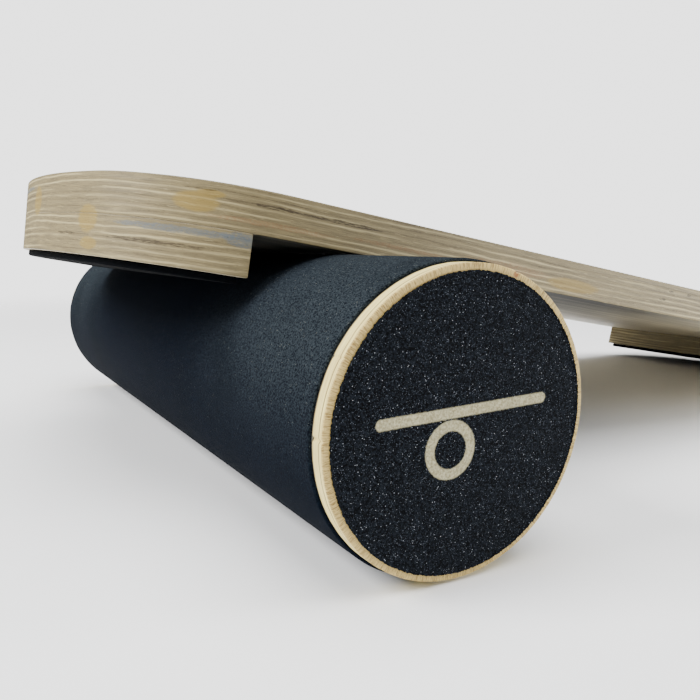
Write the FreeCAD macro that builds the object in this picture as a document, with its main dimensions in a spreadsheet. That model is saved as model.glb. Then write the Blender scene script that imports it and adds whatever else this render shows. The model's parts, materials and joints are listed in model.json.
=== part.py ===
import FreeCAD, Part
import Sketcher

import math
import os

# Balance board: a plywood deck that rolls and tips on a loose roller.
# X runs along the deck towards its lower end, Y along the roller's axis and Z is up.
# The origin is the middle of the whole object's footprint, on the floor.
# The deck, its stops and its pads are drawn level, about the roller's axis, and tip together.

Vector = FreeCAD.Vector
Rotation = FreeCAD.Rotation

doc = FreeCAD.newDocument("balance_board")
sheet = doc.addObject("Spreadsheet::Sheet", "sizes")

SIZES = {
    # deck
    "board_length": 674.0,
    "board_width": 269.0,
    "deck_thickness": 17.0,
    "corner_radius": 72.0,
    "end_radius": 266.0,
    "edge_round": 0.8,
    # stop blocks and what is on the deck
    "block_length": 66.0,
    "block_thickness": 17.0,
    "pad_thickness": 3.0,
    "pad_inset": 3.0,
    "deck_grip_thickness": 0.8,
    "deck_grip_inset": 5.0,
    # wood screws, counted on one block
    "screw_pitch": 62.0,
    "screw_head_radius": 4.0,
    "screw_shank_radius": 2.0,
    "screw_length": 30.0,
    "screw_sink": 0.3,
    "screw_slot_width": 1.0,
    "screw_slot_depth": 0.8,
    # roller
    "roller_length": 430.0,
    "cap_radius": 55.0,
    "cap_thickness": 6.8,
    "cap_edge_break": 0.4,
    "sleeve_thickness": 1.3,
    "sleeve_edge_break": 0.6,
    "tube_wall": 4.0,
    "grip_disc_radius": 52.7,
    "grip_disc_thickness": 0.6,
    "plug_thickness": 18.0,
    "rod_radius": 4.0,
    "nut_width": 13.0,
    "nut_thickness": 4.0,
    "nut_pocket_radius": 9.0,
    # clearances
    "contact_gap": 0.3,
    "rest_gap": 10.0,
    "running_gap": 0.1,
    "side_gap": 0.3,
}
SCREWS_PER_BLOCK = 4

for row, (alias, number) in enumerate(SIZES.items(), start=1):
    sheet.set(f"A{row}", alias)
    sheet.set(f"B{row}", str(number))
    sheet.setAlias(f"B{row}", alias)
doc.recompute()


class Size:
    """A length held twice: as a number, and as the expression that keeps it tied to the sheet."""

    def __init__(self, number, text):
        self.number = number
        self.text = text

    @staticmethod
    def of(other):
        return other if isinstance(other, Size) else Size(float(other), repr(float(other)))

    def __add__(self, other):
        other = Size.of(other)
        return Size(self.number + other.number, f"({self.text} + {other.text})")

    def __sub__(self, other):
        other = Size.of(other)
        return Size(self.number - other.number, f"({self.text} - {other.text})")

    def __mul__(self, other):
        other = Size.of(other)
        return Size(self.number * other.number, f"({self.text} * {other.text})")

    def __truediv__(self, other):
        other = Size.of(other)
        return Size(self.number / other.number, f"({self.text} / {other.text})")

    def __neg__(self):
        return Size(-self.number, f"(-1 * {self.text})")


def root(size):
    return Size(math.sqrt(size.number), f"sqrt({size.text})")


def sine(angle):
    return Size(math.sin(math.radians(angle.number)), f"sin({angle.text} * 1 deg)")


def cosine(angle):
    return Size(math.cos(math.radians(angle.number)), f"cos({angle.text} * 1 deg)")


def arcsine(ratio):
    return Size(math.degrees(math.asin(ratio.number)), f"(asin({ratio.text}) / 1 deg)")


def arctangent(ratio):
    return Size(math.degrees(math.atan(ratio.number)), f"(atan({ratio.text}) / 1 deg)")


def size(alias):
    return Size(SIZES[alias], f"sizes.{alias}")


ZERO = Size.of(0)

# ---- where things stand --------------------------------------------------------------------

half_length = size("board_length") / 2
half_width = size("board_width") / 2
roller_radius = size("cap_radius") + size("sleeve_thickness")
underside = roller_radius + size("contact_gap")
deck_top = underside + size("deck_thickness")
block_bottom = underside - size("block_thickness")
pad_bottom = block_bottom - size("pad_thickness")

# A stop's inner lower corner just clears the roller when it is this far from the axis.
stop_reach = root(underside * underside - block_bottom * block_bottom)
deck_centre = half_length - size("block_length") - stop_reach - size("rest_gap")

# The deck tips until the outer lower rim of the far pad meets the floor.
pad_reach = deck_centre + half_length - size("pad_inset")
pad_distance = root(pad_reach * pad_reach + pad_bottom * pad_bottom)
tilt = arcsine(roller_radius / pad_distance) + arctangent(pad_bottom / pad_reach)

middle_height = underside + (size("deck_thickness") - size("block_thickness")) / 2
axis_x = -(deck_centre * cosine(tilt) + middle_height * sine(tilt))
half_roller = size("roller_length") / 2
cap_inner = half_roller - size("cap_thickness")
tube_bore = size("cap_radius") - size("tube_wall")


# ---- drawing helpers -----------------------------------------------------------------------

def bind(thing, path, value):
    thing.setExpression(path, value.text)


def new_body(label, tipped=False):
    """An empty body whose own origin is the middle of the roller's axis."""
    body = doc.addObject("PartDesign::Body", label)
    body.Label = label
    body.AllowCompound = True
    if tipped:
        body.Placement = FreeCAD.Placement(Vector(), Rotation(Vector(0, 1, 0), tilt.number))
        bind(body, "Placement.Rotation.Angle", tilt)
    bind(body, "Placement.Base.x", axis_x)
    bind(body, "Placement.Base.z", roller_radius)
    return body


def new_sketch(body, name, plane, offset=(ZERO, ZERO, ZERO)):
    """A sketch on one of the body's own planes, shifted along that plane's axes."""
    sketch = body.newObject("Sketcher::SketchObject", f"{body.Name}_{name}")
    face = next(f for f in body.Origin.OriginFeatures if f.Role == plane)
    sketch.AttachmentSupport = (face, "")
    sketch.MapMode = "FlatFace"
    for axis, shift in zip("xyz", offset):
        bind(sketch, f"AttachmentOffset.Base.{axis}", shift)
    return sketch


def point(position):
    return Vector(position[0].number, position[1].number, 0)


def hold(sketch, kind, geometry, end, distance):
    """Ties one point of a sketch to the sketch's origin, along one axis."""
    if abs(distance.number) < 1e-9:
        axis = -2 if kind == "DistanceX" else -1
        sketch.addConstraint(Sketcher.Constraint("PointOnObject", geometry, end, axis))
        return
    index = sketch.addConstraint(Sketcher.Constraint(kind, -1, 1, geometry, end, distance.number))
    bind(sketch, f"Constraints[{index}]", distance)


def polygon(sketch, corners):
    """A closed outline with every corner tied to the sheet."""
    count = len(corners)
    for i in range(count):
        sketch.addGeometry(Part.LineSegment(point(corners[i]), point(corners[(i + 1) % count])))
    for i in range(count):
        sketch.addConstraint(Sketcher.Constraint("Coincident", i, 2, (i + 1) % count, 1))
    for i, corner in enumerate(corners):
        hold(sketch, "DistanceX", i, 1, corner[0])
        hold(sketch, "DistanceY", i, 1, corner[1])


def circle(sketch, radius):
    ring = sketch.addGeometry(Part.Circle(Vector(), Vector(0, 0, 1), radius.number))
    sketch.addConstraint(Sketcher.Constraint("Coincident", ring, 3, -1, 1))
    index = sketch.addConstraint(Sketcher.Constraint("Radius", ring, radius.number))
    bind(sketch, f"Constraints[{index}]", radius)


def arc(centre, radius, start, end):
    return Part.ArcOfCircle(Part.Circle(centre, Vector(0, 0, 1), radius), start, end)


def board_outline(sketch, inset):
    """The deck's outline, moved in by inset: straight sides, round corners and bowed ends."""
    a, b = half_length - inset, half_width - inset
    corner, end = size("corner_radius") - inset, size("end_radius") - inset
    bow_x = a - end
    side = b - corner
    reach = math.sqrt((end.number - corner.number) ** 2 - side.number ** 2)
    corner_x = bow_x.number + reach
    turn = math.atan2(side.number, reach)
    quarter, half = math.pi / 2, math.pi

    # In order, anticlockwise: right bow, corner, top side, corner, left bow, corner, side, corner.
    top, bottom, left = side.number, -side.number, -corner_x
    corners = [(corner_x, top, turn, quarter), (left, top, quarter, half - turn),
               (left, bottom, half + turn, half + quarter), (corner_x, bottom, -quarter, -turn)]
    rounds = [arc(Vector(x, y, 0), corner.number, start, stop) for x, y, start, stop in corners]
    right_bow = arc(Vector(bow_x.number, 0, 0), end.number, -turn, turn)
    left_bow = arc(Vector(-bow_x.number, 0, 0), end.number, half - turn, half + turn)
    far_side = Part.LineSegment(Vector(corner_x, b.number, 0), Vector(left, b.number, 0))
    near_side = Part.LineSegment(Vector(left, -b.number, 0), Vector(corner_x, -b.number, 0))
    loop = [right_bow, rounds[0], far_side, rounds[1], left_bow, rounds[2], near_side, rounds[3]]
    for piece in loop:
        sketch.addGeometry(piece)
    for i in range(len(loop)):
        sketch.addConstraint(Sketcher.Constraint("Tangent", i, 2, (i + 1) % len(loop), 1))

    for i, radius in ((0, end), (4, end), (1, corner), (3, corner), (5, corner), (7, corner)):
        index = sketch.addConstraint(Sketcher.Constraint("Radius", i, radius.number))
        bind(sketch, f"Constraints[{index}]", radius)
    for i, distance in ((0, bow_x), (4, -bow_x)):
        sketch.addConstraint(Sketcher.Constraint("PointOnObject", i, 3, -1))
        hold(sketch, "DistanceX", i, 3, distance)
    for i, distance in ((2, b), (6, -b)):
        sketch.addConstraint(Sketcher.Constraint("Horizontal", i))
        hold(sketch, "DistanceY", i, 1, distance)


# ---- deck pieces ---------------------------------------------------------------------------

def slab(label, inset, bottom, thickness):
    """A board of the deck's outline that lies at a height above the roller's axis."""
    body = new_body(label, tipped=True)
    sketch = new_sketch(body, "outline", "XY_Plane", (deck_centre, ZERO, bottom))
    board_outline(sketch, inset)
    pad = body.newObject("PartDesign::Pad", f"{label}_pad")
    pad.Profile = sketch
    bind(pad, "Length", thickness)
    doc.recompute()
    return body


def keep_end(body, inset, bottom, thickness, side):
    """Cuts a slab back to the piece at one end of the deck. side is -1 or 1."""
    sketch = new_sketch(body, "inboard", "XY_Plane", (deck_centre, ZERO, bottom))
    inner = (half_length - size("block_length") + inset) * side
    beyond = -size("board_length") * side
    wide = size("board_width")
    polygon(sketch, [(inner, -wide), (inner, wide), (beyond, wide), (beyond, -wide)])
    before = body.Shape.Volume
    pocket = body.newObject("PartDesign::Pocket", f"{body.Name}_inboard_cut")
    pocket.Profile = sketch
    pocket.Reversed = True
    bind(pocket, "Length", thickness)
    doc.recompute()
    if not 0 < body.Shape.Volume < before / 2:
        raise RuntimeError(f"{body.Label}: the inboard cut went the wrong way")


def round_long_edges(body):
    """Breaks the edges that run round the top and the bottom of a board."""
    base = body.Tip
    box = base.Shape.BoundBox
    levels = (box.ZMin, box.ZMax)
    names = []
    for i, edge in enumerate(base.Shape.Edges, start=1):
        span = edge.BoundBox
        flat = span.ZMax - span.ZMin < 1e-4
        if flat and min(abs(span.ZMin - level) for level in levels) < 1e-4:
            names.append(f"Edge{i}")
    fillet = body.newObject("PartDesign::Fillet", f"{body.Name}_edges")
    fillet.Base = (base, names)
    bind(fillet, "Radius", size("edge_round"))
    doc.recompute()


def screw_sketch(body, name, side):
    """Half of a countersunk wood screw, drawn beside its own axis and pointing up."""
    first = size("screw_pitch") * ((SCREWS_PER_BLOCK - 1) / 2)
    screw_x = deck_centre + (half_length - size("block_length") / 2) * side
    seat = block_bottom + size("screw_sink")
    sketch = new_sketch(body, name, "XZ_Plane", (screw_x, seat, first))
    head, shank = size("screw_head_radius"), size("screw_shank_radius")
    cone = head - shank
    shoulder = size("screw_length") - shank * 2
    polygon(sketch, [(ZERO, ZERO), (head, ZERO), (shank, cone), (shank, shoulder),
                     (ZERO, size("screw_length"))])
    return sketch


def pattern_along_width(body, features, name):
    axis = next(f for f in body.Origin.OriginFeatures if f.Role == "Y_Axis")
    pattern = body.newObject("PartDesign::LinearPattern", f"{body.Name}_{name}")
    pattern.Originals = features
    pattern.Direction = (axis, [""])
    pattern.Occurrences = SCREWS_PER_BLOCK
    bind(pattern, "Length", size("screw_pitch") * (SCREWS_PER_BLOCK - 1))
    body.Tip = pattern
    doc.recompute()


def screw_holes(body, side):
    """A row of holes that the screws of one block fill."""
    name = "left_holes" if side < 0 else "right_holes"
    sketch = screw_sketch(body, f"{name}_outline", side)
    before = body.Shape.Volume
    groove = body.newObject("PartDesign::Groove", f"{body.Name}_{name}")
    groove.Profile = sketch
    groove.ReferenceAxis = (sketch, ["V_Axis"])
    groove.Angle = 360
    doc.recompute()
    pattern_along_width(body, [groove], f"{name}_row")
    if body.Shape.Volume > before - 1:
        raise RuntimeError(f"{body.Label}: the screw holes cut nothing")


def screws(label, side):
    """One block's wood screws: separate solids, with a slot in each head."""
    body = new_body(label, tipped=True)
    sketch = screw_sketch(body, "profile", side)
    shaft = body.newObject("PartDesign::Revolution", f"{label}_shaft")
    shaft.Profile = sketch
    shaft.ReferenceAxis = (sketch, ["V_Axis"])
    shaft.Angle = 360
    doc.recompute()
    first = size("screw_pitch") * ((SCREWS_PER_BLOCK - 1) / 2)
    screw_x = deck_centre + (half_length - size("block_length") / 2) * side
    slot_sketch = new_sketch(body, "slot_outline", "XY_Plane",
                             (screw_x, -first, block_bottom + size("screw_sink")))
    across, along = size("screw_slot_width") / 2, size("screw_head_radius")
    polygon(slot_sketch, [(-along, -across), (along, -across), (along, across), (-along, across)])
    slot = body.newObject("PartDesign::Pocket", f"{label}_slot")
    slot.Profile = slot_sketch
    slot.Reversed = True
    bind(slot, "Length", size("screw_slot_depth"))
    doc.recompute()
    pattern_along_width(body, [shaft, slot], "row")
    return body


deck_panel = slab("deck_panel", ZERO, underside, size("deck_thickness"))
round_long_edges(deck_panel)
for side in (-1, 1):
    screw_holes(deck_panel, side)

deck_grip = slab("deck_grip", size("deck_grip_inset"), deck_top, size("deck_grip_thickness"))

stop_pieces = []
for name, side in (("left", -1), ("right", 1)):
    block = slab(f"{name}_stop_block", ZERO, block_bottom, size("block_thickness"))
    keep_end(block, ZERO, block_bottom, size("block_thickness"), side)
    screw_holes(block, side)
    pad = slab(f"{name}_stop_pad", size("pad_inset"), pad_bottom, size("pad_thickness"))
    keep_end(pad, size("pad_inset"), pad_bottom, size("pad_thickness"), side)
    stop_pieces += [block, pad, screws(f"{name}_stop_screws", side)]


# ---- roller pieces -------------------------------------------------------------------------

def turned(label, corners):
    """A ring or disc about the roller's axis, from corners given as (along the axis, radius)."""
    body = new_body(label)
    sketch = new_sketch(body, "profile", "YZ_Plane")
    polygon(sketch, corners)
    spin = body.newObject("PartDesign::Revolution", f"{label}_turning")
    spin.Profile = sketch
    spin.ReferenceAxis = (sketch, ["H_Axis"])
    spin.Angle = 360
    doc.recompute()
    return body


def ring(label, start, end, inner, outer, broken=None):
    """A plain tube or disc, with its outer edges broken where a size for that is given."""
    corners = [(start, inner), (end, inner)]
    if broken is None:
        corners += [(end, outer), (start, outer)]
    else:
        corners += [(end, outer - broken), (end - broken, outer),
                    (start + broken, outer), (start, outer - broken)]
    return turned(label, corners)


def end_cap(label, side):
    """A plywood disc with a pocket in its outer face for the nut that clamps it."""
    outer_face, inner_face = half_roller * side, cap_inner * side
    edge = size("cap_edge_break")
    radius = size("cap_radius")
    bore = size("rod_radius") + size("running_gap")
    pocket = size("nut_pocket_radius")
    pocket_floor = (half_roller - size("nut_thickness") - size("side_gap")) * side
    return turned(label, [
        (inner_face, bore), (pocket_floor, bore), (pocket_floor, pocket), (outer_face, pocket),
        (outer_face, radius - edge), (outer_face - edge * side, radius), (inner_face, radius)])


def clamp_nuts():
    """Both thin nuts of the tie rod, as separate solids."""
    body = new_body("tie_rod_nuts")
    flat = size("nut_width") / 2
    corner = flat / math.cos(math.radians(30))
    for name, plane_y in (("near", -half_roller + size("side_gap") / 2),
                          ("far", half_roller - size("nut_thickness") - size("side_gap") / 2)):
        sketch = new_sketch(body, f"{name}_hexagon", "XZ_Plane", (ZERO, ZERO, -plane_y))
        polygon(sketch, [(corner / 2, -flat), (corner, ZERO), (corner / 2, flat),
                         (-corner / 2, flat), (-corner, ZERO), (-corner / 2, -flat)])
        circle(sketch, size("rod_radius"))
        nut = body.newObject("PartDesign::Pad", f"tie_rod_{name}_nut")
        nut.Profile = sketch
        nut.Reversed = True
        bind(nut, "Length", size("nut_thickness"))
        doc.recompute()
    return body


rod_end = half_roller - size("side_gap") / 2
rod_break = size("cap_edge_break")
tie_rod = turned("tie_rod", [
    (-rod_end, ZERO), (rod_end, ZERO), (rod_end, size("rod_radius") - rod_break),
    (rod_end - rod_break, size("rod_radius")), (rod_break - rod_end, size("rod_radius")),
    (-rod_end, size("rod_radius") - rod_break)])
nuts = clamp_nuts()

roller_tube = ring("roller_tube", -cap_inner, cap_inner, tube_bore, size("cap_radius"))
roller_sleeve = ring("roller_sleeve", -cap_inner, cap_inner, size("cap_radius"), roller_radius,
                     size("sleeve_edge_break"))

roller_ends = []
for name, side in (("near", -1), ("far", 1)):
    roller_ends.append(end_cap(f"{name}_end_cap", side))
    grip_start = half_roller * side
    grip_end = (half_roller + size("grip_disc_thickness")) * side
    grip = turned(f"{name}_grip_disc", [
        (grip_start, ZERO), (grip_end, ZERO), (grip_end, size("grip_disc_radius")),
        (grip_start, size("grip_disc_radius"))])
    plug_start = (cap_inner - size("side_gap")) * side
    plug_end = (cap_inner - size("side_gap") - size("plug_thickness")) * side
    plug_bore = size("rod_radius") + size("running_gap")
    plug_radius = tube_bore - size("side_gap")
    plug = turned(f"{name}_end_plug", [
        (plug_start, plug_bore), (plug_end, plug_bore), (plug_end, plug_radius),
        (plug_start, plug_radius)])
    roller_ends += [grip, plug]

# ---- check and write -----------------------------------------------------------------------

doc.recompute()
for thing in doc.Objects:
    if "Invalid" in thing.State or "Error" in thing.State:
        raise RuntimeError(f"{thing.Label} did not build: {thing.State}")

nodes = [deck_panel, deck_grip] + stop_pieces + [tie_rod, nuts, roller_tube, roller_sleeve]
nodes += roller_ends
for body in nodes:
    if body.Shape.isNull() or not body.Shape.isValid():
        raise RuntimeError(f"{body.Label} has no valid shape")

os.makedirs("parts", exist_ok=True)
for body in nodes:
    body.Shape.exportStep(f"parts/{body.Label}.step")
    box = body.Shape.BoundBox
    print(f"{body.Label:18s} solids {len(body.Shape.Solids)}  volume {body.Shape.Volume:11.1f}  "
          f"x {box.XMin:7.1f} {box.XMax:7.1f}  y {box.YMin:7.1f} {box.YMax:7.1f}  "
          f"z {box.ZMin:7.2f} {box.ZMax:7.2f}")

travel = size("board_length") - size("block_length") * 2 - stop_reach * 2
print(f"tilt {tilt.number:.4f} degrees, roller axis x {axis_x.number:.4f} z {roller_radius.number:.4f}, "
      f"travel {-SIZES['rest_gap']:.3f} to {travel.number - SIZES['rest_gap']:.3f}, "
      f"deck centre {deck_centre.number:.3f}")
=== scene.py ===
# %% [markdown]
# # A balance board in Blender
# A plywood deck rocks on a loose roller. The engineering model is already packed: it says where
# every part is and how it moves. This notebook builds the looks around it, piece by piece, as
# surfaces worked out with numpy, and gives every piece a finish made of shader nodes.
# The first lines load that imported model, which is never moved.

# %% Load the frame
import json
import math

import bmesh
import bpy
import numpy as np
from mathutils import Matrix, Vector


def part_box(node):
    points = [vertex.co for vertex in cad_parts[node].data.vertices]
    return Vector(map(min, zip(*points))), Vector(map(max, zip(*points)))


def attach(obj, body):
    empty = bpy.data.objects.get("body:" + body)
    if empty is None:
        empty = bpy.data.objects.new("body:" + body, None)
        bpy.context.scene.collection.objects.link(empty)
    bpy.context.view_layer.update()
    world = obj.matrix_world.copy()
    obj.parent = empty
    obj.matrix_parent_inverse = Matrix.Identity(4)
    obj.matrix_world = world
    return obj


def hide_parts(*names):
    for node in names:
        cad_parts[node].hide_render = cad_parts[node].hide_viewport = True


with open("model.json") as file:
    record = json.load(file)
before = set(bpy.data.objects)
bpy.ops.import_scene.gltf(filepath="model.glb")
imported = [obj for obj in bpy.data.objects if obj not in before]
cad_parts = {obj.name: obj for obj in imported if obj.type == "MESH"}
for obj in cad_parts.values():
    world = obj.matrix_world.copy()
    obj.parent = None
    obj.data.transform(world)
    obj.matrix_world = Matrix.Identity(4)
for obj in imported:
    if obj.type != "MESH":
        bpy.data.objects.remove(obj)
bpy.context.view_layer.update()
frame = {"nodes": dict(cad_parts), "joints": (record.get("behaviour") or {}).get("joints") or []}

print("nodes:", sorted(frame["nodes"]))

# %% [markdown]
# ## Where things are
# The deck is tipped, so it is easier to draw it level and tip the points afterwards. The joints say
# how: the travel joint slides along the deck, and the tilt joint turns about the roller's axis.
# A level coordinate is (along the deck, across it, up from the roller's axis).

# %% The deck's own directions
joints = {joint["name"]: joint for joint in frame["joints"]}
pivot = np.array(joints["deck_tilt"]["pos_m"])
along = -np.array(joints["deck_travel"]["axis"])
along /= np.linalg.norm(along)
across = np.array([0.0, 1.0, 0.0])
upward = np.cross(along, across)
level_axes = np.stack([along, across, upward])


def to_level(points):
    """World points as (along, across, up) measured from the roller's axis."""
    return (points - pivot) @ level_axes.T


def to_world(points):
    """Level points back in the world: pivot + along * a + across * b + up * c."""
    return pivot + points @ level_axes


def level_box(node):
    """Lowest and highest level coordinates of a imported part."""
    mesh = frame["nodes"][node].data
    flat = np.empty(len(mesh.vertices) * 3, np.float32)
    mesh.vertices.foreach_get("co", flat)
    points = to_level(flat.reshape(-1, 3).astype(float))
    return points.min(0), points.max(0)


deck_low, deck_high = level_box("deck_panel")
deck_middle = (deck_low[0] + deck_high[0]) / 2
half_length = (deck_high[0] - deck_low[0]) / 2
half_width = (deck_high[1] - deck_low[1]) / 2
print(f"deck {2000 * half_length:.1f} by {2000 * half_width:.1f} mm, "
      f"tipped {math.degrees(math.asin(-along[2])):.2f} degrees")

# %% [markdown]
# ## Meshes from grids
# Every new piece is a grid: rows run round the piece and columns run across it. The grid's corners
# are computed as whole arrays, and one helper turns them into a mesh. It can close the grid on
# itself and can close its first and last columns with a single point each, so no hole is left.

# %% Faces of a grid
SHARP_ANGLE = math.radians(35)


def grid_faces(rows, columns):
    """Quads (r, c), (r+1, c), (r+1, c+1), (r, c+1) of a grid that closes on itself in rows."""
    r = np.arange(rows)[:, None]
    c = np.arange(columns - 1)[None, :]
    after = (r + 1) % rows
    quads = [r * columns + c, after * columns + c, after * columns + c + 1, r * columns + c + 1]
    return np.stack([np.broadcast_to(q, (rows, columns - 1)) for q in quads], -1).reshape(-1, 4)


def fan_faces(rows, columns, column, centre, flip):
    """Triangles from one column of the grid to a single centre point."""
    r = np.arange(rows) * columns + column
    after = np.roll(r, -1)
    tip = np.full(rows, centre)
    return np.stack([after, r, tip] if flip else [r, after, tip], -1)


# %% From a grid to a mesh
def grid_piece(name, points, ends, loop_map, point_map):
    """A closed skin from a (rows, columns, 3) grid and one or no centre point at each end.

    loop_map holds a (rows + 1, columns, 2) UV grid, whose last row meets the first again.
    point_map holds one vector for every corner of the grid and then for each centre point.
    """
    rows, columns = points.shape[:2]
    corners = points.reshape(-1, 3)
    triangles = []
    for column, centre, flip in ends:
        triangles.append(fan_faces(rows, columns, column, len(corners), flip))
        corners = np.vstack([corners, centre])
    quads = grid_faces(rows, columns)
    fans = np.vstack(triangles) if triangles else np.empty((0, 3), int)
    mesh = bpy.data.meshes.new(name)
    mesh.from_pydata(corners.tolist(), [], quads.tolist() + fans.tolist())
    write_uv(mesh, loop_map, rows, columns, ends)
    layer = mesh.attributes.new("place", "FLOAT_VECTOR", "POINT")
    layer.data.foreach_set("vector", np.asarray(point_map, np.float32).ravel())
    mesh.set_sharp_from_angle(angle=SHARP_ANGLE)
    mesh.polygons.foreach_set("use_smooth", [True] * len(mesh.polygons))
    piece = bpy.data.objects.new(name, mesh)
    bpy.context.scene.collection.objects.link(piece)
    print(f"{name}: {len(corners)} corners, {len(quads)} quads, {len(fans)} triangles")
    return piece


def write_uv(mesh, loop_map, rows, columns, ends):
    """Copies a UV grid to the faces' corners, with a seam where the last row meets the first."""
    r = np.arange(rows)[:, None]
    c = np.arange(columns - 1)[None, :]
    picks = [(r, c), (r + 1, c), (r + 1, c + 1), (r, c + 1)]
    quads = np.stack([loop_map[a, b] for a, b in picks], 2).reshape(-1, 2)
    parts = [quads]
    for column, centre, flip in ends:
        here = loop_map[:rows, column]
        after = loop_map[1:rows + 1, column]
        tip = (here + after) / 2
        order = [after, here, tip] if flip else [here, after, tip]
        parts.append(np.stack(order, 1).reshape(-1, 2))
    layer = mesh.uv_layers.new(name="edge")
    layer.data.foreach_set("uv", np.vstack(parts).astype(np.float32).ravel())


# %% [markdown]
# ## The deck's outline
# The deck has straight sides, round corners and slightly bowed ends. As one closed curve it is
# eight pieces: each corner arc is tangent to a side and to an end arc, which fixes every centre.
# The curve is walked at even steps, so that a pattern can follow it by distance.

# %% Outline of the deck and of one end of it
CORNER_ROUND = 0.072    # radius of the four corners, in metres like every length here
END_BOW = 0.266         # radius of the two bowed ends
STEP = 0.0016           # distance from one point of the outline to the next


def arc_points(centre, radius, start, stop):
    """centre + radius * (cos t, sin t) for t from start to stop, without the last point."""
    count = max(int(abs(stop - start) * radius / STEP), 2)
    t = np.linspace(start, stop, count, endpoint=False)
    return np.stack([centre[0] + radius * np.cos(t), centre[1] + radius * np.sin(t)], 1)


def line_points(start, stop):
    """start + (stop - start) * t for t from 0 to 1, without the last point."""
    start, stop = np.array(start, float), np.array(stop, float)
    count = max(int(np.linalg.norm(stop - start) / STEP), 2)
    return start + (stop - start) * np.linspace(0, 1, count, endpoint=False)[:, None]


def board_outline(inset=0.0):
    """Anticlockwise outline moved in by inset, starting in the middle of the far side.

    Returns its points, and the distance walked to each of them and back to the first.
    """
    a, b = half_length - inset, half_width - inset
    corner, bow = CORNER_ROUND - inset, END_BOW - inset
    side = b - corner
    reach = math.sqrt((bow - corner) ** 2 - side ** 2)
    x = a - bow + reach
    turn = math.atan2(side, reach)
    quarter = math.pi / 2
    points = np.vstack([
        line_points((0, b), (-x, b)),
        arc_points((-x, side), corner, quarter, math.pi - turn),
        arc_points((bow - a, 0), bow, math.pi - turn, math.pi + turn),
        arc_points((-x, -side), corner, math.pi + turn, math.pi + quarter),
        line_points((-x, -b), (x, -b)),
        arc_points((x, -side), corner, -quarter, -turn),
        arc_points((a - bow, 0), bow, -turn, turn),
        arc_points((x, side), corner, turn, quarter),
        line_points((x, b), (0, b))])
    steps = np.linalg.norm(np.roll(points, -1, 0) - points, axis=1)
    return points, np.concatenate([[0], np.cumsum(steps)])


def end_outline(inner, side, inset=0.0):
    """The part of the outline beyond |x| = inner on one side, closed by a straight inner edge.

    Its distances are the deck's own, so that a pattern runs on from the deck to the block.
    """
    points, distance = board_outline(inset)
    beyond = points[:, 0] * side > inner
    kept, walked = points[beyond], distance[:-1][beyond]
    edge_x = inner * side
    straight = line_points((edge_x, kept[-1, 1]), (edge_x, kept[0, 1]))
    before = walked[0] - np.linalg.norm(straight - kept[0], axis=1)
    walked = np.concatenate([before, walked, [walked[-1] + STEP]])
    return np.vstack([straight, kept]), walked


deck_outline = board_outline()
print(f"outline of {len(deck_outline[0])} steps, {deck_outline[1][-1]:.3f} m round")

# %% [markdown]
# ## A board carried round its outline
# A board is a cross-section carried along the outline. The section starts in the middle of the
# underside, runs out to the rim, turns up through a small rounding, climbs the sawn edge, and
# comes back over the top. Each point of the section is a pair: how far it is pulled in from the
# outline, and its height. The flat faces are the outline shrunk towards the middle.

# %% Board section
ROUND_STEPS = 6
FACE_RINGS = (0.5, 0.9, 0.985)    # rings of a flat face, as parts of the way to the rim


def outward(outline):
    """Unit normals of a closed anticlockwise curve: the tangent turned a quarter turn clockwise."""
    tangent = np.roll(outline, -1, 0) - np.roll(outline, 1, 0)
    tangent /= np.linalg.norm(tangent, axis=1)[:, None]
    return np.stack([tangent[:, 1], -tangent[:, 0]], 1)


def edge_section(thickness, rounding, steps):
    """(pulled in, height) up the edge: a quarter circle, a straight rise and a quarter circle."""
    t = np.linspace(0, math.pi / 2, ROUND_STEPS)
    low = np.stack([rounding * (1 - np.sin(t)), rounding * (1 - np.cos(t))], 1)
    rise = np.linspace(rounding, thickness - rounding, steps + 2)[1:-1]
    middle = np.stack([np.zeros(steps), rise], 1)
    high = np.stack([low[::-1, 0], thickness - low[::-1, 1]], 1)
    return np.vstack([low, middle, high])


# %% Board piece
def board_piece(name, outline, bottom, thickness, rounding, steps, relief=None):
    """A closed board: section (pulled in, height) carried round an outline in level coordinates."""
    outline, distance = outline
    section = edge_section(thickness, rounding, steps)
    middle = (outline.max(0) + outline.min(0)) / 2
    normals = outward(outline)
    pulled = np.broadcast_to(section[:, 0], (len(outline), len(section)))
    if relief is not None:
        pulled = pulled + relief(distance[:-1, None], section[None, :, 1])
    flat = outline[:, None, :] - normals[:, None, :] * pulled[:, :, None]
    shrink = np.array(FACE_RINGS)
    inner_low = middle + (flat[:, :1] - middle) * shrink[None, :, None]
    inner_high = middle + (flat[:, -1:] - middle) * shrink[None, ::-1, None]
    plan = np.concatenate([inner_low, flat, inner_high], 1)
    height = np.concatenate([0 * shrink, section[:, 1], 0 * shrink + thickness])
    heights = np.broadcast_to(height, plan.shape[:2])
    level = np.dstack([plan[..., 0] + deck_middle, plan[..., 1], heights + bottom])
    tips = np.array([[middle[0] + deck_middle, middle[1], bottom],
                     [middle[0] + deck_middle, middle[1], bottom + thickness]])
    rows, columns = level.shape[:2]
    uv = np.stack(np.broadcast_arrays(distance[:, None], height[None, :] + bottom), -1)
    ends = [(0, to_world(tips[0]), True), (columns - 1, to_world(tips[1]), False)]
    places = np.vstack([level.reshape(-1, 3), tips])
    return grid_piece(name, to_world(level), ends, uv, places)


# %% [markdown]
# ## Deck, stop blocks, pads and the grip sheet on top
# All six are boards. The deck and the blocks are plywood, so their edges get a very small relief:
# the end-grain plies sink a few hundredths of a millimetre, as they do when an edge is sanded.

# %% Relief of a sanded edge
PLY = 0.0013
PLY_SINK = 0.00004
EDGE_WANDER = 0.00005


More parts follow.
